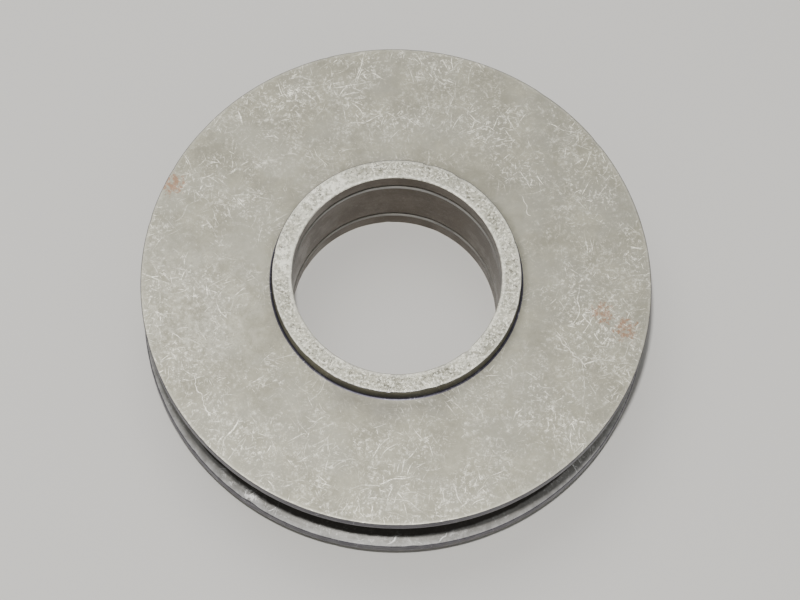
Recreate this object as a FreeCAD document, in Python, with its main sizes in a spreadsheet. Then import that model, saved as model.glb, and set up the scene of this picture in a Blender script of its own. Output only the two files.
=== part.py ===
import FreeCAD, Part
import math
import os
import Sketcher

# A wire-rope sheave: one turned steel wheel with a round-bottomed rope groove, a hub that stands
# proud of the web on both sides, and a through bore that takes a needle roller bearing between
# two retaining rings.
#
# Frame: +Z is the wheel's own axis, and the origin is the centre of the lower hub face, which the
# wheel stands on.  All lengths are millimetres and all angles are degrees.

NODE = "rope_sheave"

# Driving dimensions, one spreadsheet row each: (alias, value, note)
DIMENSIONS = [
    ("outer_diameter", 195.0, "over the rim"),
    ("rim_width", 33.0, "from web face to web face"),
    ("hub_diameter", 95.0, "outside of the hub ring"),
    ("hub_length", 45.0, "from hub face to hub face"),
    ("bore_diameter", 80.0, "seat of the bearing's outer ring"),
    ("bearing_width", 25.0, "needle roller bearing, 55 x 80 x 25"),
    ("ring_thickness", 2.5, "retaining ring for an 80 mm bore"),
    ("axial_play", 0.1, "left between bearing and rings"),
    ("ring_slot_width", 2.65, "retaining ring slot, along the axis"),
    ("ring_slot_diameter", 83.5, "floor of the retaining ring slot"),
    ("rope_groove_depth", 18.5, "from the rim to the groove's floor"),
    ("rope_groove_radius", 6.5, "round floor of the rope groove"),
    ("rope_groove_angle", 45.0, "between the two flanks"),
    ("cutter_overrun", 1.0, "how far a groove's profile runs out of the metal"),
    ("web_fillet", 1.0, "where the hub rises from the web"),
    ("hub_edge_round", 0.5, "outer edges of the hub faces"),
    ("bore_chamfer", 0.4, "lead-in at both ends of the bore"),
    ("rim_edge_round", 0.4, "outer edges of the web faces"),
    ("groove_lip_round", 0.6, "edges where the rope groove meets the rim"),
]

ORIGIN_POINT = (-1, 1)      # a sketch's own origin, as Sketcher numbers it
START, END, CENTRE = 1, 2, 3
FULL_TURN = 360


def make_sheet(doc):
    """Fill the spreadsheet: a note, a value and an alias on each row."""
    sheet = doc.addObject("Spreadsheet::Sheet", "Dimensions")
    for row, (alias, value, note) in enumerate(DIMENSIONS, start=1):
        sheet.set(f"A{row}", note)
        sheet.set(f"B{row}", str(value))
        sheet.setAlias(f"B{row}", alias)
    doc.recompute()
    return sheet


def origin_feature(body, role):
    """Give the body's own origin plane or axis with this role."""
    return next(item for item in body.Origin.OriginFeatures if item.Role == role)


def make_sketch(body, name, plane_role):
    """Attach a new sketch to one of the body's origin planes."""
    sketch = body.newObject("Sketcher::SketchObject", name)
    sketch.AttachmentSupport = [(origin_feature(body, plane_role), "")]
    sketch.MapMode = "FlatFace"
    return sketch


def add_size(sketch, kind, first, second, formula):
    """Add a dimension between two (geometry, point) pairs and bind it to a formula."""
    index = sketch.addConstraint(Sketcher.Constraint(kind, *first, *second, 1.0))
    sketch.setExpression(f"Constraints[{index}]", formula)
    return index


def add_outline(sketch, points, formulas):
    """Draw a closed outline of upright and level lines and size it.

    points are the corners (radius, height) to draw; formulas bind the radius and height of the
    corner that starts each line, with None where an upright or level line already fixes it.
    """
    count = len(points)
    for index, point in enumerate(points):
        following = points[(index + 1) % count]
        start = FreeCAD.Vector(*point, 0)
        stop = FreeCAD.Vector(*following, 0)
        sketch.addGeometry(Part.LineSegment(start, stop), False)
        direction = "Vertical" if point[0] == following[0] else "Horizontal"
        sketch.addConstraint(Sketcher.Constraint(direction, index))
    for index in range(count):
        following = (index + 1) % count
        sketch.addConstraint(Sketcher.Constraint("Coincident", index, END, following, START))
    for index, (radius, height) in enumerate(formulas):
        if radius is not None:
            add_size(sketch, "DistanceX", ORIGIN_POINT, (index, START), radius)
        if height is not None:
            add_size(sketch, "DistanceY", ORIGIN_POINT, (index, START), height)


def checked_step(doc, body, feature, sign):
    """Recompute and make sure that the feature added (+1) or removed (-1) metal."""
    before = checked_step.volume
    doc.recompute()
    volume = body.Shape.Volume
    if sign * (volume - before) <= 0:
        raise RuntimeError(f"{feature.Name} changed the volume the wrong way: {before} to {volume}")
    checked_step.volume = volume
    print(f"{feature.Name}: volume {volume / 1000:.2f} cm3")


checked_step.volume = 0.0


def add_blank(doc, body, sheet):
    """Revolve the turned blank: the web with its rim, and the hub through it."""
    sketch = make_sketch(body, "BlankProfile", "XZ_Plane")
    hub, rim, top = sheet.hub_diameter / 2, sheet.outer_diameter / 2, sheet.hub_length
    low, high = (top - sheet.rim_width) / 2, (top + sheet.rim_width) / 2
    points = [(0, 0), (hub, 0), (hub, low), (rim, low),
              (rim, high), (hub, high), (hub, top), (0, top)]
    hub_formula = "Dimensions.hub_diameter / 2"
    formulas = [(None, None), (hub_formula, None),
                (None, "(Dimensions.hub_length - Dimensions.rim_width) / 2"),
                ("Dimensions.outer_diameter / 2", None),
                (None, "(Dimensions.hub_length + Dimensions.rim_width) / 2"),
                (hub_formula, None), (None, "Dimensions.hub_length"), (None, None)]
    add_outline(sketch, points, formulas)
    sketch.addConstraint(Sketcher.Constraint("Coincident", 0, START, *ORIGIN_POINT))
    blank = body.newObject("PartDesign::Revolution", "Blank")
    blank.Profile = sketch
    blank.ReferenceAxis = (sketch, ["V_Axis"])
    blank.Angle = FULL_TURN
    checked_step(doc, body, blank, +1)


def add_bore(doc, body, sheet):
    """Bore the wheel through for the bearing."""
    sketch = make_sketch(body, "BoreProfile", "XY_Plane")
    centre, upwards = FreeCAD.Vector(0, 0, 0), FreeCAD.Vector(0, 0, 1)
    sketch.addGeometry(Part.Circle(centre, upwards, sheet.bore_diameter / 2), False)
    sketch.addConstraint(Sketcher.Constraint("Coincident", 0, CENTRE, *ORIGIN_POINT))
    index = sketch.addConstraint(Sketcher.Constraint("Diameter", 0, sheet.bore_diameter))
    sketch.setExpression(f"Constraints[{index}]", "Dimensions.bore_diameter")
    bore = body.newObject("PartDesign::Pocket", "Bore")
    bore.Profile = sketch
    bore.Type = "ThroughAll"
    bore.Reversed = True
    checked_step(doc, body, bore, -1)


def add_ring_slots(doc, body, sheet):
    """Turn one retaining ring slot in the bore, and repeat it above the bearing seat.

    The outer walls of the two slots hold the bearing, the two rings and a little play.
    """
    sketch = make_sketch(body, "RingSlotProfile", "XZ_Plane")
    span = sheet.bearing_width + 2 * sheet.ring_thickness + sheet.axial_play
    bottom = (sheet.hub_length - span) / 2
    top = bottom + sheet.ring_slot_width
    inner = sheet.bore_diameter / 2 - sheet.cutter_overrun
    outer = sheet.ring_slot_diameter / 2
    span_formula = ("(Dimensions.bearing_width + 2 * Dimensions.ring_thickness"
                    " + Dimensions.axial_play)")
    bottom_formula = f"(Dimensions.hub_length - {span_formula}) / 2"
    points = [(inner, bottom), (outer, bottom), (outer, top), (inner, top)]
    formulas = [("Dimensions.bore_diameter / 2 - Dimensions.cutter_overrun", bottom_formula),
                ("Dimensions.ring_slot_diameter / 2", None),
                (None, f"{bottom_formula} + Dimensions.ring_slot_width"), (None, None)]
    add_outline(sketch, points, formulas)
    slot = body.newObject("PartDesign::Groove", "LowerRingSlot")
    slot.Profile = sketch
    slot.ReferenceAxis = (sketch, ["V_Axis"])
    slot.Angle = FULL_TURN
    checked_step(doc, body, slot, -1)

    pair = body.newObject("PartDesign::LinearPattern", "RingSlots")
    pair.Originals = [slot]
    pair.Direction = (origin_feature(body, "Z_Axis"), [""])
    pair.Occurrences = 2
    pair.setExpression("Length", f"{span_formula} - Dimensions.ring_slot_width")
    body.Tip = pair
    checked_step(doc, body, pair, -1)


def rope_groove_foot(sheet):
    """Give the radius where flank and floor of the rope groove meet, and the half width there."""
    half_angle = math.radians(sheet.rope_groove_angle / 2)
    floor_centre = sheet.outer_diameter / 2 - sheet.rope_groove_depth + sheet.rope_groove_radius
    foot_radius = floor_centre - sheet.rope_groove_radius * math.sin(half_angle)
    return foot_radius, sheet.rope_groove_radius * math.cos(half_angle)


def rope_groove_half_width(sheet, radius):
    """Give half the width between the rope groove's flanks at this radius."""
    foot_radius, foot_half_width = rope_groove_foot(sheet)
    half_angle = math.radians(sheet.rope_groove_angle / 2)
    return foot_half_width + (radius - foot_radius) * math.tan(half_angle)


def add_rope_groove(doc, body, sheet):
    """Turn the rope groove: a round floor with two straight flanks tangent to it."""
    sketch = make_sketch(body, "RopeGrooveProfile", "XZ_Plane")
    middle = sheet.hub_length / 2
    mouth = sheet.outer_diameter / 2 + sheet.cutter_overrun
    floor = sheet.outer_diameter / 2 - sheet.rope_groove_depth
    foot, foot_half = rope_groove_foot(sheet)
    mouth_half = rope_groove_half_width(sheet, mouth)
    low_foot = FreeCAD.Vector(foot, middle - foot_half, 0)
    high_foot = FreeCAD.Vector(foot, middle + foot_half, 0)
    low_tip = FreeCAD.Vector(mouth, middle - mouth_half, 0)
    high_tip = FreeCAD.Vector(mouth, middle + mouth_half, 0)
    sketch.addGeometry(Part.Arc(high_foot, FreeCAD.Vector(floor, middle, 0), low_foot), False)
    sketch.addGeometry(Part.LineSegment(low_foot, low_tip), False)
    sketch.addGeometry(Part.LineSegment(low_tip, high_tip), False)
    sketch.addGeometry(Part.LineSegment(high_tip, high_foot), False)
    arc, low_flank, mouth_line, high_flank = range(4)
    sketch.addConstraint(Sketcher.Constraint("Coincident", low_flank, END, mouth_line, START))
    sketch.addConstraint(Sketcher.Constraint("Coincident", mouth_line, END, high_flank, START))
    sketch.addConstraint(Sketcher.Constraint("Tangent", arc, END, low_flank, START))
    sketch.addConstraint(Sketcher.Constraint("Tangent", arc, START, high_flank, END))
    sketch.addConstraint(Sketcher.Constraint("Vertical", mouth_line))
    index = sketch.addConstraint(Sketcher.Constraint("Radius", arc, sheet.rope_groove_radius))
    sketch.setExpression(f"Constraints[{index}]", "Dimensions.rope_groove_radius")
    # The lower flank is drawn outwards and the upper one inwards, so their slopes differ.
    half_angle = sheet.rope_groove_angle / 2
    slopes = ((low_flank, -half_angle, "-Dimensions.rope_groove_angle / 2"),
              (high_flank, half_angle - 180, "Dimensions.rope_groove_angle / 2 - 180"))
    for flank, slope, formula in slopes:
        angle = Sketcher.Constraint("Angle", flank, math.radians(slope))
        index = sketch.addConstraint(angle)
        sketch.setExpression(f"Constraints[{index}]", formula)
    add_size(sketch, "DistanceX", ORIGIN_POINT, (arc, CENTRE),
             "Dimensions.outer_diameter / 2 - Dimensions.rope_groove_depth"
             " + Dimensions.rope_groove_radius")
    add_size(sketch, "DistanceY", ORIGIN_POINT, (arc, CENTRE), "Dimensions.hub_length / 2")
    add_size(sketch, "DistanceX", ORIGIN_POINT, (mouth_line, START),
             "Dimensions.outer_diameter / 2 + Dimensions.cutter_overrun")
    groove = body.newObject("PartDesign::Groove", "RopeGroove")
    groove.Profile = sketch
    groove.ReferenceAxis = (sketch, ["V_Axis"])
    groove.Angle = FULL_TURN
    checked_step(doc, body, groove, -1)


def circle_edges(shape, radius, heights):
    """Name the shape's full circles of this radius at these heights."""
    names = []
    for number, edge in enumerate(shape.Edges, start=1):
        if not isinstance(edge.Curve, Part.Circle):
            continue
        right_radius = abs(edge.Curve.Radius - radius) < 0.01
        right_height = any(abs(edge.Curve.Center.z - height) < 0.01 for height in heights)
        if right_radius and right_height:
            names.append(f"Edge{number}")
    if len(names) != len(heights):
        raise RuntimeError(f"{len(names)} edges of radius {radius} at heights {heights}")
    return names


def dress_edges(doc, body, kind, name, radius, heights, alias, sign=-1):
    """Round or chamfer the circles of this radius at these heights by the aliased size."""
    base = body.Tip
    edges = circle_edges(base.Shape, radius, heights)
    feature = body.newObject(f"PartDesign::{kind}", name)
    feature.Base = (base, edges)
    size_property = "Radius" if kind == "Fillet" else "Size"
    feature.setExpression(size_property, f"Dimensions.{alias}")
    checked_step(doc, body, feature, sign)


def add_edge_finish(doc, body, sheet):
    """Round the hub's roots and every outer edge, and chamfer the ends of the bore."""
    middle = sheet.hub_length / 2
    web_faces = (middle - sheet.rim_width / 2, middle + sheet.rim_width / 2)
    hub_faces = (0.0, sheet.hub_length)
    rim_radius = sheet.outer_diameter / 2
    half_mouth = rope_groove_half_width(sheet, rim_radius)
    lips = (middle - half_mouth, middle + half_mouth)
    print(f"rope groove mouth {2 * half_mouth:.2f}, rim lands {web_faces[1] - lips[1]:.2f}")

    dress_edges(doc, body, "Fillet", "WebFillets", sheet.hub_diameter / 2, web_faces,
                "web_fillet", sign=+1)
    dress_edges(doc, body, "Fillet", "HubEdges", sheet.hub_diameter / 2, hub_faces,
                "hub_edge_round")
    dress_edges(doc, body, "Chamfer", "BoreChamfers", sheet.bore_diameter / 2, hub_faces,
                "bore_chamfer")
    dress_edges(doc, body, "Fillet", "RimEdges", rim_radius, web_faces, "rim_edge_round")
    dress_edges(doc, body, "Fillet", "GrooveLips", rim_radius, lips, "groove_lip_round")


def check_document(doc, bodies):
    """Stop on any object that failed to compute, and on any body without a sound solid."""
    for item in doc.Objects:
        if {"Invalid", "Error"} & set(item.State):
            raise RuntimeError(f"{item.Name} is in state {item.State}")
    for body in bodies:
        shape = body.Shape
        if shape.isNull() or not shape.isValid() or len(shape.Solids) != 1:
            raise RuntimeError(f"{body.Label} is not one sound solid")


doc = FreeCAD.newDocument("RopeSheave")
sheet = make_sheet(doc)
wheel = doc.addObject("PartDesign::Body", "Wheel")
wheel.Label = NODE
doc.recompute()

add_blank(doc, wheel, sheet)
add_bore(doc, wheel, sheet)
add_ring_slots(doc, wheel, sheet)
add_rope_groove(doc, wheel, sheet)
add_edge_finish(doc, wheel, sheet)

doc.recompute()
check_document(doc, [wheel])
os.makedirs("parts", exist_ok=True)
wheel.Shape.exportStep(f"parts/{wheel.Label}.step")
box = wheel.Shape.optimalBoundingBox()
print(f"{wheel.Label}: {box.XLength:.2f} x {box.YLength:.2f} x {box.ZLength:.2f} mm, "
      f"z {box.ZMin:.2f} to {box.ZMax:.2f}, {wheel.Shape.Volume / 1000:.1f} cm3, "
      f"{wheel.Shape.Volume * 7.85e-6:.2f} kg in steel")
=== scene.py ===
"""The looks of a turned steel rope sheave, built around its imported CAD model.

The wheel is one solid piece, so it is one mesh here: half of its outline is drawn with a lathe
pen, mirrored about the middle plane and spun about the axis, then knocked about as handling does.
"""

import logging
import math
import random
from dataclasses import dataclass, field
from enum import Enum, IntEnum
from typing import Iterator

import bmesh
import bpy
from mathutils import Matrix, Vector, noise


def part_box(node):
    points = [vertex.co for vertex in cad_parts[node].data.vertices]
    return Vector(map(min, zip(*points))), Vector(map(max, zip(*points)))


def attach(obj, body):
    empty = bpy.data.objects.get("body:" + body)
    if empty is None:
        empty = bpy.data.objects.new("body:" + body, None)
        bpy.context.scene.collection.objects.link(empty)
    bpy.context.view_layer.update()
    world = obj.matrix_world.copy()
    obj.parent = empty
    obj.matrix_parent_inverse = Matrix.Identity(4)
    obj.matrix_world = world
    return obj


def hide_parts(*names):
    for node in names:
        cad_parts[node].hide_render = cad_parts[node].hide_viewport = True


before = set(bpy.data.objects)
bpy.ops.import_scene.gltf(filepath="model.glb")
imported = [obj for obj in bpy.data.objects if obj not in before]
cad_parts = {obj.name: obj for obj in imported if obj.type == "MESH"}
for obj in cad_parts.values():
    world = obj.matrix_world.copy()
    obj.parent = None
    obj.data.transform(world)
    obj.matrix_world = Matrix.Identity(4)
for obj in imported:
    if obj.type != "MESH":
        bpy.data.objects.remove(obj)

MM = 0.001
CAD_NODE = "rope_sheave"
LOG = logging.getLogger("sheave")

# Painted shade, with some grimy oil in the groove: darkens the web at the hub's foot and the rope
# groove's depth.
GRIME_AND_SHADE = (0.022, 0.018, 0.013, 1.0)
# Painted shade at the hub's near foot, and one faint darker patch.
DULL_SKIN_AND_SHADE = (0.07, 0.065, 0.06, 1.0)
RUST = (0.27, 0.105, 0.04, 1.0)

Socket = bpy.types.NodeSocket
Feed = Socket | float | tuple[float, ...]
Colour = tuple[float, float, float]


class Repeats:
    """How often each noise pattern repeats in a metre."""

    WEB_WAVES = 45.0
    CROWDS = 48.0
    HAZE_ZONES = 55.0
    HUB_WAVES = 120.0
    STAIN_AND_SHADE_EDGE = 200.0
    HAZE = 420.0
    POLISH_AND_SHEEN = 420.0
    WORN_EDGE = 500.0
    HUB_DENTS = 600.0
    BROKEN_SCORE = 600.0
    RUST = 620.0
    SKIN = 700.0
    FLECKS = 760.0
    CRUMBS = 900.0
    TOOL_LINES = 3800.0


# ---- Node wiring ------------------------------------------------------------------------------


class Wiring:
    """Adds nodes to one node tree and joins them."""

    def __init__(self, tree: bpy.types.NodeTree) -> None:
        """Work in this tree.

        Args:
            tree: the node tree of a material or of a group.
        """
        self.tree = tree

    def add(self, kind: str, **settings: object) -> bpy.types.Node:
        """Add a node and set its properties.

        Args:
            kind: the node's type name.
            settings: property names and values.

        Returns:
            The new node.
        """
        node = self.tree.nodes.new(kind)
        for name, value in settings.items():
            setattr(node, name, value)
        return node

    def feed(self, socket: Socket, value: Feed) -> None:
        """Link a socket to another one, or give it a fixed value.

        Args:
            socket: the input to feed.
            value: an output socket, a number or a tuple of numbers.
        """
        if isinstance(value, Socket):
            self.tree.links.new(value, socket)
        else:
            socket.default_value = value

    def math(self, operation: str, *values: Feed) -> Socket:
        """Join numbers with a Math node.

        Args:
            operation: the Math node's operation.
            values: one to three inputs.

        Returns:
            The result.
        """
        node = self.add("ShaderNodeMath", operation=operation)
        for socket, value in zip(node.inputs, values):
            self.feed(socket, value)
        return node.outputs[0]

    def vector(self, operation: str, *values: Feed) -> Socket:
        """Join vectors with a Vector Math node.

        Args:
            operation: the Vector Math node's operation; SCALE takes its factor second.
            values: the inputs in order.

        Returns:
            The vector, or the number for DISTANCE and LENGTH.
        """
        node = self.add("ShaderNodeVectorMath", operation=operation)
        sockets = [node.inputs[0], node.inputs["Scale"] if operation == "SCALE" else node.inputs[1]]
        for socket, value in zip(sockets, values):
            self.feed(socket, value)
        return node.outputs["Value" if operation in ("DISTANCE", "LENGTH") else "Vector"]

    def step(self, value: Feed, low: Feed, high: Feed, out: tuple[float, float] = (0.0, 1.0)) -> Socket:
        """Turn a number smoothly from out[0] at low to out[1] at high.

        Args:
            value: the number to map.
            low: where the change starts.
            high: where it ends.
            out: the results at the two ends.

        Returns:
            The mapped number.
        """
        node = self.add("ShaderNodeMapRange", interpolation_type="SMOOTHSTEP")
        for name, given in zip(("Value", "From Min", "From Max", "To Min", "To Max"),
                               (value, low, high, *out)):
            self.feed(node.inputs[name], given)
        return node.outputs["Result"]

    def mix(self, factor: Feed, first: Feed, second: Feed) -> Socket:
        """Blend two colours.

        Args:
            factor: 0 gives the first colour and 1 the second.
            first: a colour socket or four numbers.
            second: a colour socket or four numbers.

        Returns:
            The blended colour.
        """
        node = self.add("ShaderNodeMix", data_type="RGBA")
        colours = [socket for socket in node.inputs if socket.type == "RGBA"]
        self.feed(node.inputs[0], factor)
        self.feed(colours[0], first)
        self.feed(colours[1], second)
        return next(socket for socket in node.outputs if socket.type == "RGBA")

    def noise(self, place: Feed, scale: Feed, detail: float = 2.0, roughness: float = 0.5) -> Socket:
        """Give smooth noise about 0.5.

        Args:
            place: the coordinates.
            scale: repeats per metre.
            detail: how many finer layers are added.
            roughness: how strong the finer layers are.

        Returns:
            The noise value.
        """
        node = self.add("ShaderNodeTexNoise")
        self.feed(node.inputs["Vector"], place)
        self.feed(node.inputs["Scale"], scale)
        node.inputs["Detail"].default_value = detail
        node.inputs["Roughness"].default_value = roughness
        return node.outputs[0]

    def use(self, group: bpy.types.NodeTree, **inputs: Feed) -> dict[str, Socket]:
        """Place a node group.

        Args:
            group: the group's tree.
            inputs: values or sockets by input name.

        Returns:
            The group's outputs by name.
        """
        node = self.add("ShaderNodeGroup", node_tree=group)
        for name, value in inputs.items():
            self.feed(node.inputs[name], value)
        return {socket.name: socket for socket in node.outputs}


@dataclass
class Effect:
    """A shader node group in the making, with named inputs and outputs."""

    name: str
    inputs: dict[str, str]
    outputs: dict[str, str]

    def __post_init__(self) -> None:
        """Make the group's tree and its sockets."""
        self.tree = bpy.data.node_groups.new(self.name, "ShaderNodeTree")
        for in_out, sockets in (("INPUT", self.inputs), ("OUTPUT", self.outputs)):
            for name, kind in sockets.items():
                self.tree.interface.new_socket(name=name, in_out=in_out,
                                               socket_type=f"NodeSocket{kind}")
        self.wiring = Wiring(self.tree)
        self.entry = self.wiring.add("NodeGroupInput").outputs
        self.exit = self.wiring.add("NodeGroupOutput").inputs

    def finish(self, **results: Feed) -> bpy.types.NodeTree:
        """Join the results to the outputs.

        Args:
            results: sockets by output name.

        Returns:
            The finished group's tree.
        """
        for name, value in results.items():
            self.wiring.feed(self.exit[name], value)
        return self.tree


# ---- Shared effects ---------------------------------------------------------------------------


@dataclass
class Cells:
    """Irregular cells of the plane, each with its own random colour and its own turn."""

    w: Wiring
    place: Socket
    size: Socket

    def __post_init__(self) -> None:
        """Add the cells and turn the offset from each cell's point."""
        cell = self.w.add("ShaderNodeTexVoronoi", voronoi_dimensions="2D", feature="F1")
        self.w.feed(cell.inputs["Vector"], self.place)
        self.w.feed(cell.inputs["Scale"], self.w.math("DIVIDE", 1.0, self.size))
        chance = self.w.add("ShaderNodeSeparateColor")
        self.w.feed(chance.inputs[0], cell.outputs["Color"])
        turned = self.w.add("ShaderNodeVectorRotate", rotation_type="Z_AXIS")
        offset = self.w.vector("SUBTRACT", self.place, cell.outputs["Position"])
        self.w.feed(turned.inputs["Vector"], offset)
        self.w.feed(turned.inputs["Angle"], self.w.math("MULTIPLY", chance.outputs[0], math.tau))
        self.colour = cell.outputs["Color"]
        self.chance = chance.outputs
        self.offset = turned.outputs[0]

    def kept(self, amount: Feed) -> Socket:
        """Give 1 in a share of the cells and 0 in the rest.

        Args:
            amount: the share, from 0 to 1.

        Returns:
            The choice.
        """
        return self.w.math("LESS_THAN", self.chance[2], amount)


def hairline_effect() -> bpy.types.NodeTree:
    """Scatter fine scratches, one in each irregular cell of the plane.

    Returns:
        A group that turns flat coordinates in metres into a scratch mask.
    """
    effect = Effect("Hairline scratches",
                    {"Vector": "Vector", "Cell": "Float", "Length": "Float", "Width": "Float",
                     "Amount": "Float"},
                    {"Mask": "Float"})
    w, given = effect.wiring, effect.entry
    cells = Cells(w, given["Vector"], given["Cell"])
    shape = w.add("ShaderNodeCombineXYZ")
    w.feed(shape.inputs[0], w.math("DIVIDE", 2.0, given["Length"]))
    w.feed(shape.inputs[1], w.math("DIVIDE", 2.0, given["Width"]))
    # Inside a long thin ellipse the length of the stretched offset is below one.
    away = w.vector("LENGTH", w.vector("MULTIPLY", cells.offset, shape.outputs[0]))
    # Squaring the chance leaves many faint scratches and few bright ones.
    squared = w.math("MULTIPLY", cells.chance[1], cells.chance[1])
    strength = w.math("MULTIPLY", cells.kept(given["Amount"]),
                      w.math("ADD", w.math("MULTIPLY", squared, 1.1), 0.15))
    return effect.finish(Mask=w.math("MULTIPLY", w.step(away, 0.35, 1.0, (1.0, 0.0)), strength))


def hatch_effect() -> bpy.types.NodeTree:
    """Scatter short brushes of nearly parallel hairlines, as a dragged edge leaves.

    Returns:
        A group that turns flat coordinates in metres into a mask.
    """
    effect = Effect("Hatched rubs",
                    {"Vector": "Vector", "Cell": "Float", "Spacing": "Float", "Amount": "Float"},
                    {"Mask": "Float"})
    w, given = effect.wiring, effect.entry
    cells = Cells(w, given["Vector"], given["Cell"])
    brushed = w.vector("MULTIPLY", cells.offset, (0.1, 1.0, 1.0))
    seeded = w.vector("ADD", brushed, cells.colour)
    strokes = w.step(w.noise(seeded, w.math("DIVIDE", 1.0, given["Spacing"]), 2.0, 0.6), 0.55, 0.68)
    reach = w.vector("LENGTH", w.vector("MULTIPLY", cells.offset, (1.0, 2.4, 1.0)))
    patch = w.step(w.math("DIVIDE", reach, given["Cell"]), 0.15, 0.55, (1.0, 0.0))
    kept = cells.kept(given["Amount"])
    return effect.finish(Mask=w.math("MULTIPLY", strokes, w.math("MULTIPLY", patch, kept)))


def mottle_effect() -> bpy.types.NodeTree:
    """Give large soft-edged patches with finer cloud in them.

    Returns:
        A group with one factor from 0 to 1.
    """
    effect = Effect("Mottle", {"Vector": "Vector", "Size": "Float"}, {"Factor": "Float"})
    w, given = effect.wiring, effect.entry
    repeats = w.math("DIVIDE", 1.0, given["Size"])
    broad = w.noise(given["Vector"], repeats, 3.0, 0.55)
    fine = w.noise(given["Vector"], w.math("MULTIPLY", repeats, 5.0), 3.0, 0.6)
    both = w.math("ADD", w.math("MULTIPLY", broad, 0.7), w.math("MULTIPLY", fine, 0.3))
    return effect.finish(Factor=w.step(both, 0.4, 0.62))


def pit_effect() -> bpy.types.NodeTree:
    """Give the small dings and raised crumbs of metal that has been struck and dragged.

    Returns:
        A group with a height from 0 to 1, a mask of the polished high spots and one of the pits.
    """
    effect = Effect("Dings", {"Vector": "Vector", "Size": "Float"},
                    {"Height": "Float", "Bright": "Float", "Pit": "Float"})
    w, given = effect.wiring, effect.entry
    repeats = w.math("DIVIDE", 1.0, given["Size"])
    torn = w.noise(given["Vector"], w.math("MULTIPLY", repeats, 1.6), 4.0, 0.7)
    cell = w.add("ShaderNodeTexVoronoi", feature="SMOOTH_F1")
    w.feed(cell.inputs["Vector"], w.vector("ADD", given["Vector"],
                                           w.vector("SCALE", given["Vector"], torn)))
    w.feed(cell.inputs["Scale"], repeats)
    cell.inputs["Smoothness"].default_value = 0.35
    height = w.math("ADD", w.math("MULTIPLY", cell.outputs["Distance"], 0.6),
                    w.math("MULTIPLY", torn, 0.8))
    return effect.finish(Height=height, Bright=w.step(torn, 0.5, 0.6), Pit=w.step(torn, 0.48, 0.38))


def wrap_effect() -> bpy.types.NodeTree:
    """Unroll the surface round the wheel's axis into flat coordinates in metres.

    Returns:
        A group that gives arc length, height and zero.
    """
    effect = Effect("Round the axis", {"Vector": "Vector", "Radius": "Float"}, {"Vector": "Vector"})
    w, given = effect.wiring, effect.entry
    parts = w.add("ShaderNodeSeparateXYZ")
    w.feed(parts.inputs[0], given["Vector"])
    # The seam lies on the side away from +Y, where the angle jumps by a full turn.
    turn = w.math("ARCTAN2", parts.outputs[0], parts.outputs[1])
    flat = w.add("ShaderNodeCombineXYZ")
    w.feed(flat.inputs[0], w.math("MULTIPLY", turn, given["Radius"]))
    w.feed(flat.inputs[1], parts.outputs[2])
    return effect.finish(Vector=flat.outputs[0])


def rust_effect() -> bpy.types.NodeTree:
    """Give a broken stain that fades out from a centre.

    Returns:
        A group with a mask.
    """
    effect = Effect("Rust bloom",
                    {"Vector": "Vector", "Centre": "Vector", "Radius": "Float", "Amount": "Float"},
                    {"Mask": "Float"})
    w, given = effect.wiring, effect.entry
    away = w.math("DIVIDE", w.vector("DISTANCE", given["Vector"], given["Centre"]), given["Radius"])
    near = w.math("SUBTRACT", 1.0, w.step(away, 0.1, 1.0))
    grain = w.noise(given["Vector"], Repeats.RUST, 6.0, 0.75)
    level = w.math("SUBTRACT", 0.78, w.math("MULTIPLY", near, given["Amount"]))
    spots = w.step(grain, level, w.math("ADD", level, 0.1))
    return effect.finish(Mask=w.math("MULTIPLY", spots, w.step(near, 0.0, 0.4)))


def score_effect() -> bpy.types.NodeTree:
    """Draw one score mark between two points, as seen along the axis.

    Returns:
        A group with a mask. Unsteady coordinates make an unsteady mark.
    """
    effect = Effect("Score mark",
                    {"Vector": "Vector", "Start": "Vector", "Run": "Vector", "Length": "Float",
                     "Width": "Float"},
                    {"Mask": "Float"})
    w, given = effect.wiring, effect.entry
    flat = w.vector("MULTIPLY", w.vector("SUBTRACT", given["Vector"], given["Start"]), (1.0, 1.0, 0.0))
    along = w.add("ShaderNodeVectorMath", operation="DOT_PRODUCT")
    w.feed(along.inputs[0], flat)
    w.feed(along.inputs[1], given["Run"])
    reached = w.math("MINIMUM", w.math("MAXIMUM", along.outputs["Value"], 0.0), given["Length"])
    off = w.vector("LENGTH", w.vector("SUBTRACT", flat, w.vector("SCALE", given["Run"], reached)))
    broken = w.step(w.noise(given["Vector"], Repeats.BROKEN_SCORE, 3.0, 0.7), 0.3, 0.6, (0.3, 1.0))
    line = w.step(w.math("DIVIDE", off, given["Width"]), 0.1, 0.5, (0.8, 0.0))
    return effect.finish(Mask=w.math("MULTIPLY", line, broken))


@dataclass
class Effects:
    """Every shared effect, built once."""

    hairlines: bpy.types.NodeTree = field(default_factory=hairline_effect)
    hatching: bpy.types.NodeTree = field(default_factory=hatch_effect)
    mottle: bpy.types.NodeTree = field(default_factory=mottle_effect)
    dings: bpy.types.NodeTree = field(default_factory=pit_effect)
    wrap: bpy.types.NodeTree = field(default_factory=wrap_effect)
    rust: bpy.types.NodeTree = field(default_factory=rust_effect)
    score: bpy.types.NodeTree = field(default_factory=score_effect)


# ---- Finishes ---------------------------------------------------------------------------------


class Lay(Enum):
    """How a pattern lies on the wheel."""

    FLAT = "across the axis, on faces seen from above or below"
    ROUND = "round the axis, on walls"


class Zone(IntEnum):
    """The parts of the surface that have a finish each; the number is the material's place."""

    WEB = 0
    HUB_FACE = 1
    RIM = 2
    BORE = 3
    RING_SLOT = 4
    ROPE_GROOVE = 5


@dataclass(frozen=True)
class ScratchLayer:
    """One scatter of hairlines, one to a cell.

    Cell, length and width are in metres, amount is the share of the cells that have one, and shift
    moves the scatter so that no two layers coincide.
    """

    cell: float
    length: float
    width: float
    amount: float
    shift: float


@dataclass(frozen=True)
class Patch:
    """A soft round area on the wheel: its centre, how far it reaches and how strong it is."""

    centre: Vector
    reach: float
    strength: float


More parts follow.
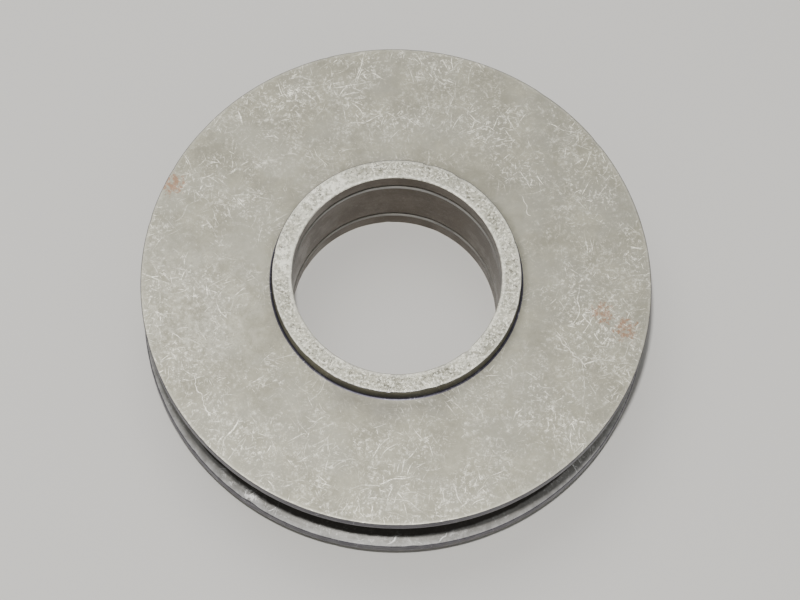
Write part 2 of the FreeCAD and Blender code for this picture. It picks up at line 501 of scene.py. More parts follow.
@dataclass(frozen=True)
class Score:
    """A single long scratch from one point to another, as seen along the axis."""

    start: Vector
    end: Vector
    width: float


@dataclass(frozen=True)
class Tones:
    """The colours of one finish: two ends of its grain, its worn patches and its bare marks."""

    dark: Colour
    light: Colour
    patch: Colour
    bare: Colour


@dataclass(frozen=True)
class SteelFinish:
    """Bare steel with its own tones, gloss, scratches and stains, and in some finishes painted shade,
    sheen and highlights.
    """

    name: str
    tones: Tones
    roughness: float
    lay: Lay = Lay.FLAT
    radius: float = 40 * MM
    metallic: float = 0.85
    layers: tuple[ScratchLayer, ...] = ()
    hatching: float = 0.0
    scuffs: float = 0.0
    edge_rub_and_glint: float = 0.0
    dings: float = 0.0
    lathe_lines: float = 0.0
    worn_from: float = 0.0
    grime_and_shade: tuple[float, float, float] | None = None
    polish_and_sheen: tuple[Patch, ...] = ()
    crowded: tuple[Patch, ...] = ()
    shade_and_dull: tuple[Patch, ...] = ()
    scores: tuple[Score, ...] = ()
    rust: tuple[Patch, ...] = ()

    def build(self, effects: Effects) -> bpy.types.Material:
        """Make the material.

        Args:
            effects: the shared node groups.

        Returns:
            The material.
        """
        material = bpy.data.materials.new(self.name)
        material.use_nodes = True
        w = Wiring(material.node_tree)
        solid = w.add("ShaderNodeTexCoord").outputs["Object"]
        place = solid
        if self.lay is Lay.ROUND:
            place = w.use(effects.wrap, Vector=solid, Radius=self.radius)["Vector"]
        Coat(self, w, effects, place, solid).lay_on(material.node_tree.nodes["Principled BSDF"])
        return material


@dataclass(frozen=True)
class Coat:
    """A finish being wired up: solid is the object's own coordinates, place is flat ones."""

    finish: SteelFinish
    w: Wiring
    effects: Effects
    place: Socket
    solid: Socket

    def lay_on(self, shader: bpy.types.Node) -> None:
        """Feed colour, gloss and relief to a shader.

        Args:
            shader: the material's Principled node.
        """
        w, finish, solid = self.w, self.finish, self.solid
        tones = finish.tones
        grain = w.step(w.noise(solid, 1.0 / (13 * MM), 7.0, 0.72), 0.3, 0.72)
        colour = w.mix(grain, (*tones.dark, 1.0), (*tones.light, 1.0))
        mottle = w.use(self.effects.mottle, Vector=solid, Size=15 * MM)["Factor"]
        colour = w.mix(w.math("MULTIPLY", mottle, 0.6), colour, (*tones.patch, 1.0))
        if finish.dings:
            pits = w.use(self.effects.dings, Vector=solid, Size=2.3 * MM)["Pit"]
            shade = tuple(part * 0.5 for part in tones.dark)
            colour = w.mix(w.math("MULTIPLY", pits, finish.dings), colour, (*shade, 1.0))
        colour = w.mix(self.marks(), colour, (*tones.bare, 1.0))
        w.feed(shader.inputs["Base Color"], self.stained_and_shaded(colour))
        shader.inputs["Metallic"].default_value = finish.metallic
        gloss = w.step(mottle, 0.0, 1.0, (finish.roughness + 0.05, finish.roughness - 0.05))
        w.feed(shader.inputs["Roughness"], gloss)
        w.feed(shader.inputs["Normal"], self.bumps())

    def marks(self) -> Socket:
        """Give where bare bright metal shows, from 0 to 1: scratches, rubs, edges, high spots, and
        painted sheen, glare and edge highlights.
        """
        w, finish, solid = self.w, self.finish, self.solid
        mask = self.scratches()
        if finish.scuffs:
            haze = w.noise(solid, Repeats.HAZE, 7.0, 0.82)
            zone = w.step(w.noise(solid, Repeats.HAZE_ZONES, 4.0, 0.65), 0.42, 0.62, (0.1, 1.0))
            scuff = w.math("MULTIPLY", w.step(haze, 0.5, 0.72), zone)
            mask = w.math("MAXIMUM", mask, w.math("MULTIPLY", scuff, finish.scuffs))
        if finish.worn_from:
            worn = w.step(self.from_axis(), finish.worn_from, finish.worn_from * 1.35, (0.5, 1.0))
            mask = w.math("MULTIPLY", mask, worn)
        # Bright edges: real rubbing, and painted highlights where the rounded edges and lips catch the
        # light.
        if finish.edge_rub_and_glint:
            edge = w.add("ShaderNodeAttribute", attribute_name="edge_rub_and_glint").outputs["Fac"]
            broken = w.step(w.noise(solid, Repeats.WORN_EDGE, 4.0, 0.7), 0.3, 0.62, (0.35, 1.0))
            rubbed = w.math("MULTIPLY", w.math("MULTIPLY", edge, broken), finish.edge_rub_and_glint)
            mask = w.math("MAXIMUM", mask, rubbed)
        if finish.dings:
            struck = w.use(self.effects.dings, Vector=solid, Size=1.7 * MM)["Bright"]
            mask = w.math("MAXIMUM", mask, w.math("MULTIPLY", struck, finish.dings))
        # Polish patches: real rubs, and on the web and hub faces painted sheen and glare too.
        for patch in finish.polish_and_sheen:
            rubs = w.step(w.noise(solid, Repeats.POLISH_AND_SHEEN, 5.0, 0.78), 0.44, 0.58, (0.0, 1.0))
            mask = w.math("MAXIMUM", mask, w.math("MULTIPLY", self.fading(patch), rubs))
        if finish.scores:
            shaken = self.shaken(solid, 5 * MM, 5 * MM)
        for score in finish.scores:
            run = score.end - score.start
            line = w.use(self.effects.score, Vector=shaken, Start=tuple(score.start),
                         Run=tuple(run.normalized()), Length=run.length, Width=score.width)["Mask"]
            mask = w.math("MAXIMUM", mask, line)
        return w.math("MINIMUM", mask, 1.0)

    def from_axis(self) -> Socket:
        """Give the distance from the wheel's axis."""
        return self.w.vector("LENGTH", self.w.vector("MULTIPLY", self.solid, (1.0, 1.0, 0.0)))

    def fading(self, patch: Patch, full: float = 0.0) -> Socket:
        """Give a patch's strength about its centre, fading to 0 at its reach.

        Args:
            patch: where it is, how far it reaches and how strong it is.
            full: the share of its reach that has the full strength.

        Returns:
            The strength at each point.
        """
        away = self.w.vector("DISTANCE", self.solid, tuple(patch.centre))
        return self.w.step(away, patch.reach * full, patch.reach, (patch.strength, 0.0))

    def shaken(self, place: Socket, size: float, amount: float, detail: float = 2.0) -> Socket:
        """Bend coordinates, so that what is drawn along them isn't perfectly straight.

        Args:
            place: the coordinates to bend.
            size: the length of one bend.
            amount: how far the coordinates are spread.
            detail: how many finer bends are added.

        Returns:
            The bent coordinates.
        """
        w = self.w
        drift = w.add("ShaderNodeTexNoise")
        w.feed(drift.inputs["Vector"], place)
        drift.inputs["Scale"].default_value = 1.0 / size
        drift.inputs["Detail"].default_value = detail
        centred = w.vector("SUBTRACT", drift.outputs["Color"], (0.5, 0.5, 0.5))
        return w.vector("ADD", place, w.vector("SCALE", centred, amount))

    def scratches(self) -> Socket:
        """Give the brightest of the scratch layers, crowded in some places and thin in others."""
        w, finish, solid = self.w, self.finish, self.solid
        mask: Feed = 0.0
        bent = self.shaken(self.place, 15 * MM, 9 * MM, 1.0)
        for layer in finish.layers:
            shifted = w.vector("ADD", bent, (layer.shift, layer.shift * 0.7, 0.0))
            lines = w.use(self.effects.hairlines, Vector=shifted, Cell=layer.cell,
                          Length=layer.length, Width=layer.width, Amount=layer.amount)["Mask"]
            mask = w.math("MAXIMUM", mask, lines)
        crowd = w.step(w.noise(solid, Repeats.CROWDS, 6.0, 0.72), 0.4, 0.6, (0.08, 0.95))
        for patch in finish.crowded:
            crowd = w.math("MAXIMUM", crowd, self.fading(patch))
        if finish.hatching:
            for cell, spacing in ((13 * MM, 0.8 * MM), (6 * MM, 0.6 * MM)):
                rubs = w.use(self.effects.hatching, Vector=bent, Cell=cell, Spacing=spacing,
                             Amount=finish.hatching)["Mask"]
                mask = w.math("MAXIMUM", mask, w.math("MULTIPLY", rubs, 0.6))
        # A scratch skips over the grain of the steel, so it is broken into crumbs.
        crumbs = w.step(w.noise(solid, Repeats.CRUMBS, 3.0, 0.75), 0.4, 0.58, (0.35, 1.35))
        mask = w.math("MULTIPLY", mask, crumbs)
        if finish.scuffs:
            flecks = w.noise(solid, Repeats.FLECKS, 4.0, 0.8)
            mask = w.math("MAXIMUM", mask, w.step(flecks, 0.52, 0.66, (0.0, finish.scuffs)))
        return w.math("MULTIPLY", mask, crowd)

    def stained_and_shaded(self, colour: Socket) -> Socket:
        """Lay painted shade with some grimy soil, dark patches that are mostly painted shade, and rust
        over a colour.

        Args:
            colour: the clean colour.

        Returns:
            The colour with painted shade, soil and rust laid on.
        """
        w, finish = self.w, self.finish
        if finish.grime_and_shade is not None:
            # Darker inward of a radius: painted shade at the hub's foot and deep in the rope groove,
            # where grimy oil is painted too.
            full, clear, depth = finish.grime_and_shade
            wander = w.math("MULTIPLY", w.noise(self.solid, Repeats.STAIN_AND_SHADE_EDGE, 3.0, 0.6), 1.2 * MM)
            dirt_and_shade = w.step(w.math("ADD", self.from_axis(), wander), full, clear, (depth, 0.0))
            colour = w.mix(dirt_and_shade, colour, GRIME_AND_SHADE)
        # Patches: painted shade at the hub's near foot, and one faint darker patch.
        for patch in finish.shade_and_dull:
            colour = w.mix(self.fading(patch, 0.3), colour, DULL_SKIN_AND_SHADE)
        for patch in finish.rust:
            bloom = w.use(self.effects.rust, Vector=self.solid, Centre=tuple(patch.centre),
                          Radius=patch.reach, Amount=patch.strength)["Mask"]
            colour = w.mix(w.math("MULTIPLY", bloom, 0.6), colour, RUST)
        return colour

    def bumps(self) -> Socket:
        """Give the normal bent by fine relief: a skin of small unevenness, dings and tool lines."""
        w, finish = self.w, self.finish
        heights = w.math("MULTIPLY", w.noise(self.solid, Repeats.SKIN, 5.0, 0.7), 0.3)
        if finish.dings:
            struck = w.use(self.effects.dings, Vector=self.solid, Size=1.3 * MM)["Height"]
            heights = w.math("ADD", heights, w.math("MULTIPLY", struck, finish.dings * 0.9))
        if finish.lathe_lines:
            stretched = w.vector("MULTIPLY", self.place, (0.02, 1.0, 0.02))
            turned = w.noise(stretched, Repeats.TOOL_LINES, 3.0, 0.6)
            heights = w.math("ADD", heights, w.math("MULTIPLY", turned, finish.lathe_lines))
        bump = w.add("ShaderNodeBump")
        bump.inputs["Strength"].default_value = 0.8
        bump.inputs["Distance"].default_value = 0.12 * MM
        w.feed(bump.inputs["Height"], heights)
        return bump.outputs[0]


def face_layers() -> tuple[ScratchLayer, ...]:
    """Give the scratch layers of the web faces, from long and few to short and many."""
    long_few = [ScratchLayer(21 * MM, 23 * MM, 0.42 * MM, 0.6, 0.11 + 0.31 * turn) for turn in range(2)]
    middle = [ScratchLayer(8 * MM, 9 * MM, 0.38 * MM, 0.75, 0.29 + 0.17 * turn) for turn in range(3)]
    short = [ScratchLayer(3.6 * MM, 4.2 * MM, 0.34 * MM, 0.7, 0.43 + 0.13 * turn) for turn in range(2)]
    return (*long_few, *middle, *short)


def show(name: str, data: bpy.types.ID) -> bpy.types.Object:
    """Put a mesh, a lamp or a camera in the scene.

    Args:
        name: the object's name.
        data: what it shows.

    Returns:
        The object.
    """
    shown = bpy.data.objects.new(name, data)
    bpy.context.scene.collection.objects.link(shown)
    return shown


# ---- Shape ------------------------------------------------------------------------------------


class LathePen:
    """Draws an outline in the plane of radius (x) and height (z) with bmesh operators."""

    def __init__(self, bm: bmesh.types.BMesh, radius: float, height: float) -> None:
        """Put the pen down.

        Args:
            bm: the mesh to draw in.
            radius: distance from the wheel's axis.
            height: distance above the base.
        """
        self.bm = bm
        self.tip = bm.verts.new((radius, 0.0, height))

    def line(self, radius: float, height: float, pieces: int = 1) -> None:
        """Draw a straight stretch.

        Args:
            radius: where it ends.
            height: where it ends.
            pieces: how many edges it gets.
        """
        stride = (Vector((radius, 0.0, height)) - self.tip.co) / pieces
        for _ in range(pieces):
            drawn = bmesh.ops.extrude_vert_indiv(self.bm, verts=[self.tip])
            self.tip = drawn["verts"][0]
            bmesh.ops.translate(self.bm, verts=[self.tip], vec=stride)

    def arc(self, radius: float, height: float, degrees: float, pieces: int) -> None:
        """Draw an arc about a centre; a positive angle turns from the height to the radius.

        Args:
            radius: the centre's distance from the axis.
            height: the centre's height.
            degrees: how far to turn.
            pieces: how many edges the arc gets.
        """
        drawn = bmesh.ops.spin(self.bm, geom=[self.tip], cent=(radius, 0.0, height),
                               axis=(0.0, 1.0, 0.0), angle=math.radians(degrees), steps=pieces)
        self.tip = next(item for item in drawn["geom_last"] if isinstance(item, bmesh.types.BMVert))


@dataclass(frozen=True)
class Knock:
    """A dent in an edge: where it is round the axis, on which edge, and how large."""

    degrees: float
    radius: float
    height: float
    width: float
    depth: float


@dataclass
class SheaveWheel:
    """The whole wheel, in metres, in the frame of the CAD model."""

    bore: float = 40.0 * MM
    bore_chamfer: float = 0.4 * MM
    slot_floor: float = 41.75 * MM
    slot_width: float = 2.65 * MM
    slot_depth_in: float = 7.45 * MM
    hub: float = 47.5 * MM
    web_fillet: float = 1.0 * MM
    hub_edge_round: float = 0.5 * MM
    rim_edge_round: float = 0.4 * MM
    lip_round: float = 0.6 * MM
    slot_edge_break: float = 0.35 * MM
    rim_width: float = 33.0 * MM
    groove_depth: float = 18.5 * MM
    groove_floor: float = 6.5 * MM
    groove_half_angle: float = 22.5
    steps: int = 512
    knocks: list[Knock] = field(default_factory=list)

    def __post_init__(self) -> None:
        """Take the rim and the heights from the CAD model's box."""
        low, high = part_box(CAD_NODE)
        self.rim = high.x
        self.top = high.z
        self.middle = (low.z + high.z) / 2
        self.web_top = self.middle + self.rim_width / 2

    def groove_half_width(self, radius: float) -> float:
        """Give half the distance between the groove's flanks at a radius."""
        angle = math.radians(self.groove_half_angle)
        centre = self.rim - self.groove_depth + self.groove_floor
        foot = centre - self.groove_floor * math.sin(angle)
        return self.groove_floor * math.cos(angle) + (radius - foot) * math.tan(angle)

    def draw_half_outline(self, bm: bmesh.types.BMesh) -> None:
        """Draw the upper half of the outline, from the groove's floor over the rim to the bore."""
        angle = math.radians(self.groove_half_angle)
        turn = 90.0 - self.groove_half_angle
        pen = LathePen(bm, self.rim - self.groove_depth, self.middle)
        pen.arc(self.rim - self.groove_depth + self.groove_floor, self.middle, turn, 8)
        corner = self.middle + self.groove_half_width(self.rim)
        tangent = self.lip_round * math.tan(math.radians(turn) / 2)
        pen.line(self.rim - tangent * math.cos(angle), corner - tangent * math.sin(angle), 9)
        pen.arc(self.rim - self.lip_round, corner + tangent, -turn, 4)
        pen.line(self.rim, self.web_top - self.rim_edge_round, 3)
        pen.arc(self.rim - self.rim_edge_round, self.web_top - self.rim_edge_round, -90.0, 3)
        pen.line(self.rim - 2 * MM, self.web_top, 3)
        pen.line(self.hub + self.web_fillet, self.web_top, 18)
        pen.arc(self.hub + self.web_fillet, self.web_top + self.web_fillet, 90.0, 4)
        pen.line(self.hub, self.top - self.hub_edge_round, 3)
        pen.arc(self.hub - self.hub_edge_round, self.top - self.hub_edge_round, -90.0, 3)
        pen.line(self.bore + self.bore_chamfer, self.top, 14)
        pen.line(self.bore, self.top - self.bore_chamfer, 1)
        slot_top = self.top - self.slot_depth_in
        slot_low = slot_top - self.slot_width
        pen.line(self.bore, slot_top + self.slot_edge_break, 4)
        pen.line(self.bore + self.slot_edge_break, slot_top, 1)
        pen.line(self.slot_floor, slot_top, 1)
        pen.line(self.slot_floor, slot_low, 1)
        pen.line(self.bore + self.slot_edge_break, slot_low, 1)
        pen.line(self.bore, slot_low - self.slot_edge_break, 1)
        pen.line(self.bore, self.middle, 4)

    def edge_circles(self) -> Iterator[tuple[float, float]]:
        """Give the radius and height of every outside edge that gets rubbed."""
        lip = self.groove_half_width(self.rim)
        for side in (-1, 1):
            half_web, half_hub = self.rim_width / 2, self.top - self.middle
            yield self.rim, self.middle + side * half_web
            yield self.rim, self.middle + side * lip
            yield self.hub, self.middle + side * half_hub
            yield self.bore + self.bore_chamfer, self.middle + side * half_hub

    def add_knocks(self) -> None:
        """Choose where the edges have been struck: the plain ones first, then random small ones."""
        rim_top, lip = self.web_top, self.middle - self.groove_half_width(self.rim)
        self.knocks += [
            Knock(-72.0, self.hub, self.top, 3.4 * MM, 0.55 * MM),
            Knock(-65.0, self.hub, self.top, 2.2 * MM, 0.35 * MM),
            Knock(-44.0, self.bore + self.bore_chamfer, self.top, 2.6 * MM, 0.6 * MM),
            Knock(79.0, self.hub, self.top, 3.0 * MM, 0.45 * MM),
            Knock(64.0, self.hub, self.top, 3.0 * MM, 0.45 * MM),
            Knock(41.0, self.rim, rim_top, 3.0 * MM, 0.2 * MM),
            Knock(-120.0, self.rim, lip, 4.5 * MM, 0.4 * MM),
            Knock(-82.0, self.rim, lip, 2.5 * MM, 0.3 * MM),
        ]
        dice = random.Random(7)
        for radius, height in self.edge_circles():
            for _ in range(16):
                self.knocks.append(Knock(dice.uniform(-180, 180), radius, height,
                                         dice.uniform(1.2, 3.6) * MM, dice.uniform(0.04, 0.18) * MM))

    def press_knocks(self, bm: bmesh.types.BMesh) -> None:
        """Press each knock into the edge that it is on."""
        for radius, height in self.edge_circles():
            reach = 5 * MM
            near = [vert for vert in bm.verts if abs(vert.co.z - height) < reach
                    and abs(vert.co.xy.length - radius) < reach]
            for knock in self.knocks:
                if (knock.radius, knock.height) == (radius, height):
                    self.press(knock, near)

    def press(self, knock: Knock, verts: list[bmesh.types.BMVert]) -> None:
        """Push the vertices round one knock into the metal.

        Args:
            knock: where and how hard the edge was struck.
            verts: the vertices along that edge.
        """
        turn = math.radians(knock.degrees)
        struck = Vector((knock.radius * math.cos(turn), knock.radius * math.sin(turn), knock.height))
        outward = Vector((struck.x, struck.y, 0.0)).normalized()
        inward = outward if knock.radius < self.hub - MM else -outward
        inward = (inward + Vector((0.0, 0.0, -1.0 if knock.height > self.middle else 1.0))).normalized()
        for vert in verts:
            away = (vert.co - struck).length / knock.width
            if away < 1.0:
                vert.co += inward * knock.depth * (1.0 - away * away) ** 2

    def roughen(self, bm: bmesh.types.BMesh) -> None:
        """Take the flatness off the faces: shallow waves on the web, dings on the hub faces."""
        for vert in bm.verts:
            side = 1.0 if vert.co.z > self.middle else -1.0
            rise = abs(vert.co.z - self.middle)
            radius = vert.co.xy.length
            sunk = 0.0
            if radius < self.hub - 0.2 * MM and rise > self.top - self.middle - 0.1 * MM:
                sunk = 0.16 * MM * abs(noise.fractal(vert.co * Repeats.HUB_DENTS, 1.0, 2.0, 3))
                sunk += 0.06 * MM * (0.5 + 0.5 * noise.noise(vert.co * Repeats.HUB_WAVES))
            elif radius > self.hub + self.web_fillet and rise > self.rim_width / 2 - 0.05 * MM:
                sunk = 0.035 * MM * (0.5 + 0.5 * noise.noise(vert.co * Repeats.WEB_WAVES))
            vert.co.z -= side * sunk

    def mark_edges(self, bm: bmesh.types.BMesh) -> None:
        """Store how close each vertex is to an outside edge, from 0 to 1."""
        layer = bm.verts.layers.float.new("edge_rub_and_glint")
        circles = list(self.edge_circles())
        for vert in bm.verts:
            radius = vert.co.xy.length
            nearest = min(math.hypot(radius - r, vert.co.z - h) for r, h in circles)
            vert[layer] = max(0.0, 1.0 - nearest / (1.5 * MM))

    def zone(self, face: bmesh.types.BMFace) -> Zone:
        """Choose the finish of a face by where it lies on the wheel.

        Args:
            face: a face of the finished mesh.

        Returns:
            The zone whose finish it wears.
        """
        centre = face.calc_center_median()
        radius = centre.xy.length
        rise = abs(centre.z - self.middle)
        half_hub, half_web = self.top - self.middle, self.rim_width / 2
        slot_rise = half_hub - self.slot_depth_in
        slope = abs(face.normal.z)
        if radius < self.bore + 0.05 * MM and rise < half_hub - self.bore_chamfer:
            return Zone.BORE
        if radius < self.slot_floor + 0.05 * MM and rise < slot_rise + 0.4 * MM:
            # The slot's floor wears the dark bore finish as painted shade under its upper side; the
            # slot's sides wear the lighter slot finish, a painted lit copy of the bore steel.
            return Zone.RING_SLOT if slope > 0.5 else Zone.BORE
        on_hub_side = self.hub - 0.6 * MM < radius < self.hub + 1.1 * self.web_fillet
        if on_hub_side and rise > half_web - 0.2 * MM:
            if slope < 0.3:
                return Zone.WEB
            # The rounded edge of the hub and the fillet at its foot are as dark as the rim: painted shade
            # at the hub's foot and edge, which also takes away the fillet's highlight.
            return Zone.RIM if slope < 0.8 or radius > self.hub else Zone.HUB_FACE
        if radius < self.hub - 0.3 * MM:
            return Zone.HUB_FACE
        # Rim lands wear the dark rim finish: painted shade of walls that the light only grazes.
        if radius > self.rim - 0.4 * MM and slope < 0.93:
            return Zone.RIM
        if rise < half_web - 0.3 * MM and radius > self.hub + self.web_fillet:
            return Zone.ROPE_GROOVE
        return Zone.WEB

    def build(self, finishes: list[bpy.types.Material]) -> bpy.types.Object:
        """Make the wheel.

        Args:
            finishes: the materials in the order of Zone.

        Returns:
            The wheel's object, in place.
        """
        bm = bmesh.new()
        self.draw_half_outline(bm)
        flip = Matrix.Translation((0.0, 0.0, -self.middle))
        bmesh.ops.mirror(bm, geom=bm.verts[:] + bm.edges[:], matrix=flip, axis="Z",
                         merge_dist=0.001 * MM)
        bmesh.ops.remove_doubles(bm, verts=bm.verts[:], dist=0.001 * MM)
        bmesh.ops.spin(bm, geom=bm.verts[:] + bm.edges[:], cent=(0.0, 0.0, 0.0),
                       axis=(0.0, 0.0, 1.0), angle=math.tau, steps=self.steps, use_merge=True)
        bmesh.ops.recalc_face_normals(bm, faces=bm.faces[:])
        self.mark_edges(bm)
        for face in bm.faces:
            face.material_index = self.zone(face)
            face.smooth = True
        self.roughen(bm)
        self.add_knocks()
        self.press_knocks(bm)
        mesh = bpy.data.meshes.new("sheave_wheel")
        bm.to_mesh(mesh)
        bm.free()
        for material in finishes:
            mesh.materials.append(material)
        mesh.set_sharp_from_angle(angle=math.radians(40.0))
        wheel = show("sheave_wheel", mesh)
        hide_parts(CAD_NODE)
        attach(wheel, "root")
        return wheel


def patches(height: float, *spots: tuple[float, float, float, float]) -> tuple[Patch, ...]:
    """Lay soft patches at one height.

    Args:
        height: in metres above the base.
        spots: of each one, how far right, how far back and its reach in millimetres, and its strength.

    Returns:
        The patches.
    """
    return tuple(Patch(Vector((right * MM, back * MM, height)), reach * MM, strength)
                 for right, back, reach, strength in spots)


def scores(*marks: tuple[float, float, float, float, float]) -> tuple[Score, ...]:
    """Draw score marks as seen along the axis.

    Args:
        marks: of each one, right and back of its start, right and back of its end, and its width,
            all in millimetres.

    Returns:
        The marks.
    """
    return tuple(Score(Vector((right * MM, back * MM, 0.0)), Vector((to_right * MM, to_back * MM, 0.0)),
                       width * MM)
                 for right, back, to_right, to_back, width in marks)


def few_layers() -> tuple[ScratchLayer, ...]:
    """Give the thin scatter of scratches on everything but the web."""
    return (ScratchLayer(8 * MM, 8 * MM, 0.4 * MM, 0.5, 0.2),
            ScratchLayer(4 * MM, 4 * MM, 0.36 * MM, 0.5, 0.5))


def web_finish(wheel: SheaveWheel) -> SteelFinish:
    """Finish the web faces: matt, warm grey, hazed with scratches, with two small rust stains, painted
    shade at the hub's near foot and painted sheen on the left.

    Args:
        wheel: gives the heights and radii.

    Returns:
        The finish.
    """
    top = wheel.web_top
    return SteelFinish(
        "Scuffed web steel",
        Tones((0.25, 0.236, 0.18), (0.37, 0.352, 0.272), (0.29, 0.28, 0.228), (0.97, 0.93, 0.80)),
        roughness=0.46,
        layers=face_layers(),
        hatching=0.6,
        scuffs=0.7,
        worn_from=52 * MM,
        edge_rub_and_glint=0.3,
        # Painted shade on the web within 6 mm of the hub's foot.
        grime_and_shade=(wheel.hub, wheel.hub + 6 * MM, 0.25),
        # A broad lighter patch on the left of the web is painted sheen.
        polish_and_sheen=patches(top, (-78, -22, 50, 0.16)),
        crowded=patches(top, (-46, 74, 20, 1.3), (76, -12, 28, 1.3), (-80, -38, 24, 1.0),
                        (-18, 88, 14, 1.0), (5, -82, 24, 0.9)),
        # The first three are painted shade on the web at the near foot of the hub; the fourth is a faint
        # darker patch.
        shade_and_dull=patches(top, (0, -49, 12, 0.32), (-16, -46, 12, 0.28), (16, -46, 12, 0.28),
                     (38, 36, 22, 0.07)),
        scores=scores((45.5, 38.5, 50, 30.5, 0.5), (62, -18, 74, -29, 0.5),
                      (-36, 52, -30, 45, 0.4), (-66, -60, -74, -45, 0.5)),
        rust=patches(top, (79, -7, 11, 0.36), (88, -13, 12, 0.36), (-89, 33, 12, 0.36)))


def hub_finish(wheel: SheaveWheel) -> SteelFinish:
    """Finish the hub faces: bright, struck and pitted, and polished on the left, with painted glare
    there.

    Args:
        wheel: gives the height of the upper hub face.

    Returns:
        The finish.
    """
    return SteelFinish(
        "Struck hub face steel",
        Tones((0.26, 0.248, 0.185), (0.66, 0.632, 0.50), (0.38, 0.365, 0.285), (1.0, 0.97, 0.83)),
        roughness=0.38,
        metallic=0.6,
        layers=few_layers(),
        hatching=0.3,
        scuffs=0.7,
        edge_rub_and_glint=0.9,
        dings=0.85,
        # Bright patches on the upper left: worn polish with painted glare.
        polish_and_sheen=patches(wheel.top, (-30, 32, 24, 1.25), (-43, 3, 13, 1.2), (30, -30, 9, 0.9)),
        scores=scores((-8, 40.6, -5.6, 47, 0.7), (-46, -10, -42, -11, 0.5),
                      (41.5, -3.5, 46.5, -4, 0.5)))


def groove_scuffs() -> tuple[Patch, ...]:
    """Give the bright rubs on the lower flank of the groove, on the near side."""
    return patches(12 * MM, (-49.5, -81.5, 6, 1.2), (30, -91, 4, 0.8))


def rim_finish(wheel: SheaveWheel) -> SteelFinish:
    """Finish the rim's lands: painted dark as the shade of walls that the light only grazes, with faint
    tool lines.

    Args:
        wheel: gives the rim's radius.

    Returns:
        The finish.
    """
    return SteelFinish(
        "Rim steel in painted shade",
        # Dark purple-grey tones: painted shade on walls that the light only grazes.
        Tones((0.045, 0.041, 0.053), (0.092, 0.086, 0.106), (0.06, 0.056, 0.069), (0.55, 0.54, 0.57)),
        roughness=0.4,
        lay=Lay.ROUND,
        radius=wheel.rim,
        layers=few_layers(),
        scuffs=0.2,
        edge_rub_and_glint=0.25,
        lathe_lines=0.3,
        polish_and_sheen=groove_scuffs()[:1])


def bore_finish(wheel: SheaveWheel) -> SteelFinish:
    """Finish the bore: smooth, dark and brownish; the darkness is painted shade of walls that the light
    only grazes, and the brown a painted reflection of wood.

    Args:
        wheel: gives the bore's radius.

    Returns:
        The finish.
    """
    return SteelFinish(
        "Smooth bore steel",
        # Dark brown tones: painted shade and a painted reflection of wood.
        Tones((0.056, 0.04, 0.025), (0.078, 0.058, 0.038), (0.068, 0.05, 0.032), (0.5, 0.47, 0.42)),
        roughness=0.34,
        lay=Lay.ROUND,
        radius=wheel.bore,
        scuffs=0.12,
        lathe_lines=0.3)


def ring_slot_finish(wheel: SheaveWheel) -> SteelFinish:
    """Finish the sides of the ring slots: clean cut steel, painted far lighter than the bore as a lit
    copy of the same steel.

    Args:
        wheel: gives the bore's radius.

    Returns:
        The finish.
    """
    return SteelFinish(
        "Ring slot steel",
        # Light tones: painted light on the slot sides, against the dark bore.
        Tones((0.46, 0.44, 0.40), (0.60, 0.58, 0.53), (0.52, 0.50, 0.46), (0.7, 0.68, 0.62)),
        roughness=0.36,
        lay=Lay.ROUND,
        radius=wheel.bore,
        lathe_lines=0.2)


def rope_groove_finish(wheel: SheaveWheel) -> SteelFinish:
    """Finish the rope groove: bright near its lips, with painted highlights on them, and black below as
    painted shade of the upper flange with some grimy oil.

    Args:
        wheel: gives the rim's radius.

    Returns:
        The finish.
    """
    return SteelFinish(
        "Rope groove steel",
        Tones((0.2, 0.19, 0.17), (0.34, 0.33, 0.3), (0.26, 0.25, 0.23), (0.9, 0.88, 0.84)),
        roughness=0.44,
        layers=few_layers(),
        scuffs=0.6,
        # The strong edge brightness here paints the lips' highlights as well as their rubbing.
        edge_rub_and_glint=0.8,
        # Black deeper than 3.7 mm below the rim: painted shade of the upper flange, with some grimy oil.
        grime_and_shade=(wheel.rim - 3.7 * MM, wheel.rim - 2.9 * MM, 0.88),
        polish_and_sheen=groove_scuffs(),
        scores=scores((8, -93, 3, -97.4, 0.8), (25, -91, 22, -95, 0.8), (-47, -80, -51, -83, 0.9)))


def wheel_finishes(wheel: SheaveWheel) -> list[SteelFinish]:
    """List the wheel's finishes.

    Args:
        wheel: gives the radii and heights that patterns and stains need.

    Returns:
        One finish for each zone, in the order of Zone.
    """
    makers = (web_finish, hub_finish, rim_finish, bore_finish, ring_slot_finish, rope_groove_finish)
    return [maker(wheel) for maker in makers]


# ---- Studio -----------------------------------------------------------------------------------


@dataclass(frozen=True)
class Viewpoint:
    """Where the camera stands: above the near side, tipped a little about its own line of sight."""

    elevation: float = 68.91
    roll: float = -4.3
    distance: float = 1206.9 * MM
    lens_mm: float = 142.4
    aim_right: float = 1.33 * MM
    aim_down: float = 7.52 * MM

    def axes(self) -> tuple[Vector, Vector, Vector]:
        """Give the camera's own right, up and backward directions in the object's frame."""
        tilt, turn = math.radians(self.elevation), math.radians(self.roll)
        level = Vector((1.0, 0.0, 0.0))
        back = Vector((0.0, -math.cos(tilt), math.sin(tilt)))
        rise = back.cross(level)
        right = level * math.cos(turn) - rise * math.sin(turn)
        up = back.cross(right)
        return right, up, back

    def place(self, target: Vector) -> None:
        """Put the camera in the scene.

        Args:
            target: the point that lies a little above the picture's centre.
        """
        right, up, back = self.axes()
        aim = target + right * self.aim_right - up * self.aim_down
        place = aim + back * self.distance
        data = bpy.data.cameras.new("camera")
        data.lens = self.lens_mm
        data.sensor_width = 36.0
        data.clip_start = 0.01
        camera = show("camera", data)
        turn = Matrix((right, up, back)).transposed().to_4x4()
        camera.matrix_world = Matrix.Translation(place) @ turn
        bpy.context.scene.camera = camera


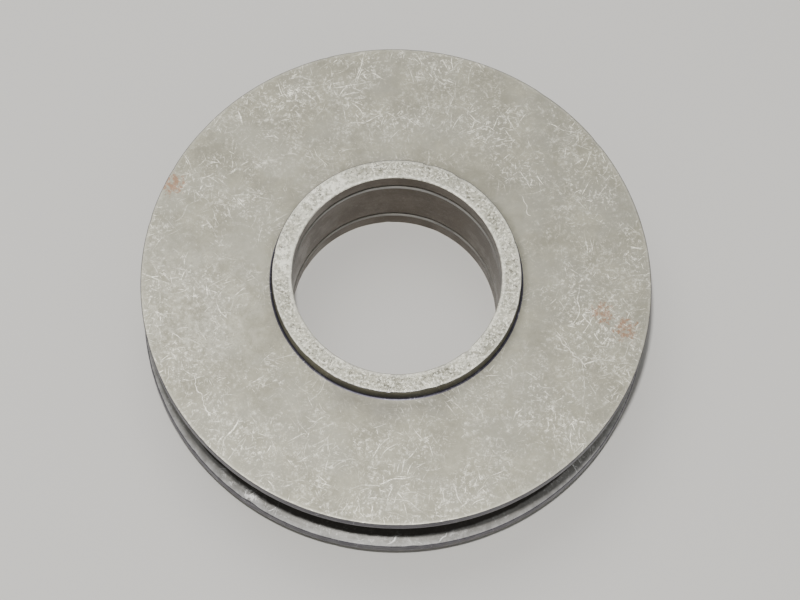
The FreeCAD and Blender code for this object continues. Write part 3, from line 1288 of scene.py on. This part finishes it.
@dataclass(frozen=True)
class SoftLight:
    """A square area light that looks at the wheel."""

    name: str
    azimuth: float
    elevation: float
    distance: float
    size: float
    watts: float

    def place(self, target: Vector) -> None:
        """Hang the light; azimuth 0 stands at the near side and turns to the right."""
        turn, tilt = math.radians(self.azimuth), math.radians(self.elevation)
        away = Vector((math.sin(turn) * math.cos(tilt), -math.cos(turn) * math.cos(tilt), math.sin(tilt)))
        data = bpy.data.lights.new(self.name, "AREA")
        data.size = self.size
        data.energy = self.watts
        lamp = show(self.name, data)
        lamp.location = target + away * self.distance
        lamp.rotation_euler = away.to_track_quat("Z", "Y").to_euler()


@dataclass(frozen=True)
class Studio:
    """A pale floor and soft light."""

    floor_half_width: float = 3.0
    floor_colour: Colour = (0.66, 0.64, 0.60)
    sky: Colour = (0.9, 0.92, 0.95)
    sky_strength: float = 0.34
    lights: tuple[SoftLight, ...] = (
        SoftLight("key", -10.0, 77.6, 1.5, 0.06, 20.0),
        SoftLight("far fill", -155.0, 62.0, 1.6, 1.1, 9.0),
    )

    def build(self, target: Vector, floor_height: float) -> None:
        """Make the floor, the sky and the lights.

        Args:
            target: where the lights look.
            floor_height: where the wheel stands.
        """
        bm = bmesh.new()
        bmesh.ops.create_grid(bm, x_segments=1, y_segments=1, size=self.floor_half_width,
                              matrix=Matrix.Translation((0.0, 0.0, floor_height)))
        mesh = bpy.data.meshes.new("floor")
        bm.to_mesh(mesh)
        bm.free()
        material = bpy.data.materials.new("Pale floor")
        material.use_nodes = True
        shader = material.node_tree.nodes["Principled BSDF"]
        shader.inputs["Base Color"].default_value = (*self.floor_colour, 1.0)
        shader.inputs["Roughness"].default_value = 0.7
        mesh.materials.append(material)
        show("floor", mesh)
        world = bpy.data.worlds.new("studio")
        world.use_nodes = True
        background = world.node_tree.nodes["Background"]
        background.inputs[0].default_value = (*self.sky, 1.0)
        background.inputs[1].default_value = self.sky_strength
        bpy.context.scene.world = world
        for light in self.lights:
            light.place(target)


def main() -> None:
    """Build the wheel, the studio and the camera."""
    logging.basicConfig(level=logging.INFO, format="%(name)s: %(message)s")
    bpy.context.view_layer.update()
    wheel = SheaveWheel()
    effects = Effects()
    finishes = [finish.build(effects) for finish in wheel_finishes(wheel)]
    piece = wheel.build(finishes)
    LOG.info("%s: %d faces, %d knocks", piece.name, len(piece.data.polygons), len(wheel.knocks))
    face_centre = Vector((0.0, 0.0, wheel.web_top))
    Studio().build(face_centre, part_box(CAD_NODE)[0].z)
    Viewpoint().place(face_centre)
    LOG.info("studio and camera placed")


if __name__ == "__main__":
    main()
